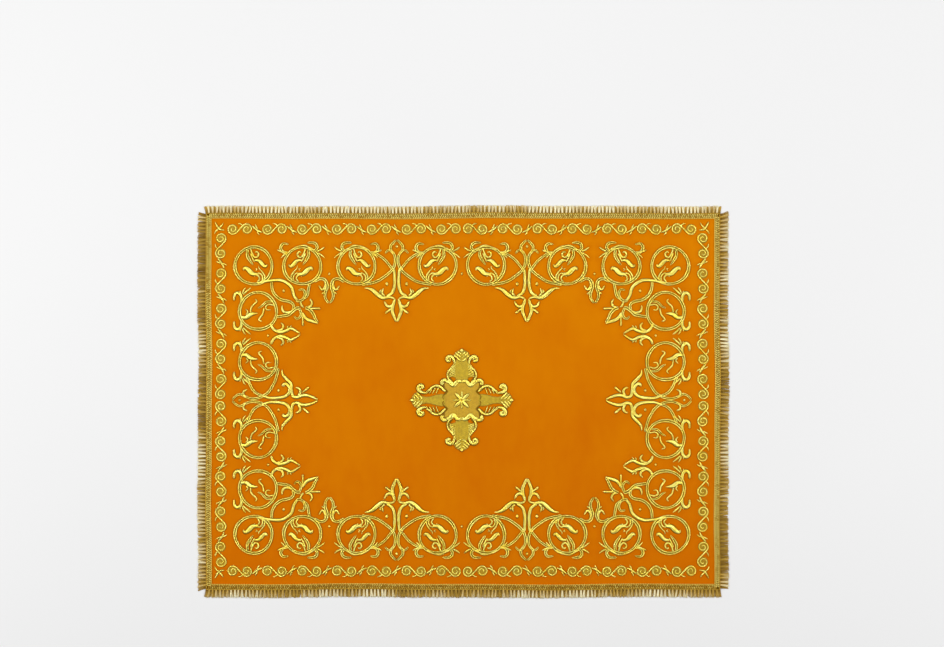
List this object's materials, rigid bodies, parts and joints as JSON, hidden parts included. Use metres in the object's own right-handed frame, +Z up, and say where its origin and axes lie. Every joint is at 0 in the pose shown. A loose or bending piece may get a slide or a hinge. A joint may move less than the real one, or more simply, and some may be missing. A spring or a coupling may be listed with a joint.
{
  "type": "aer",
  "caption": "Oblong velvet aer, lying flat, with raised gold scroll embroidery, a cross in the middle, a running border and gold fringe on a braid.",
  "frame": {"origin": "under the middle of the cloth, on the surface that it lies on", "axes": "+X along the long side, +Y along the short side, +Z up out of the embroidered face"},
  "size_m": [0.6803, 0.5003, 0.0025],
  "materials": {
    "velvet": "short orange velvet pile, matt",
    "gold_thread": "satin-stitched gold thread, lustrous",
    "gold_fringe": "looped gold fringe on a woven gold braid, lustrous"
  },
  "bodies": {
    "root": {"panel": "velvet", "fringe_top": "gold_fringe", "fringe_right": "gold_fringe", "fringe_bottom": "gold_fringe", "fringe_left": "gold_fringe"}
  },
  "joints": []
}
